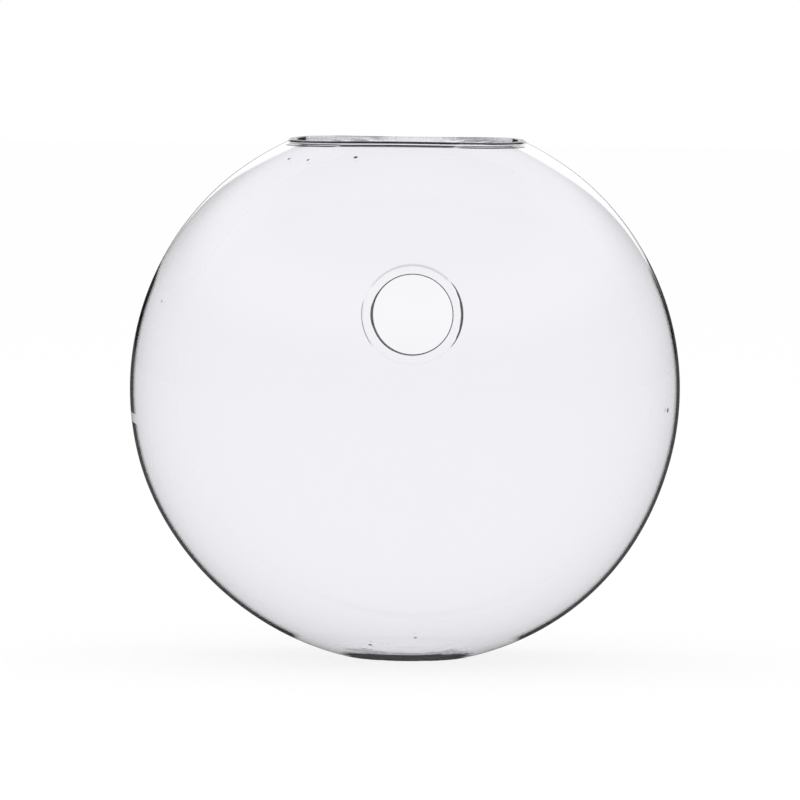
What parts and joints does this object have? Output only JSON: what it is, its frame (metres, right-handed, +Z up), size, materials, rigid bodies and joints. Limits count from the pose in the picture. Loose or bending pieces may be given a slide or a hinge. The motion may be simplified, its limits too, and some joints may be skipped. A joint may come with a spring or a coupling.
{
  "type": "wall vase",
  "caption": "Clear blown-glass globe vase with a flat back, a small flat foot, an open fire-polished mouth and a lipped hole in the back to hang it by.",
  "frame": {"origin": "on the surface that the foot stands on, under the middle of the vase's width and depth", "axes": "+Z up through the mouth, +Y out of the flat back towards the wall, -Y the round front, +X to the right seen from the front"},
  "size_m": [0.1, 0.074, 0.0946],
  "materials": {
    "glass": "clear, fire-polished"
  },
  "bodies": {
    "root": {"glass_vase": "glass"}
  },
  "joints": []
}
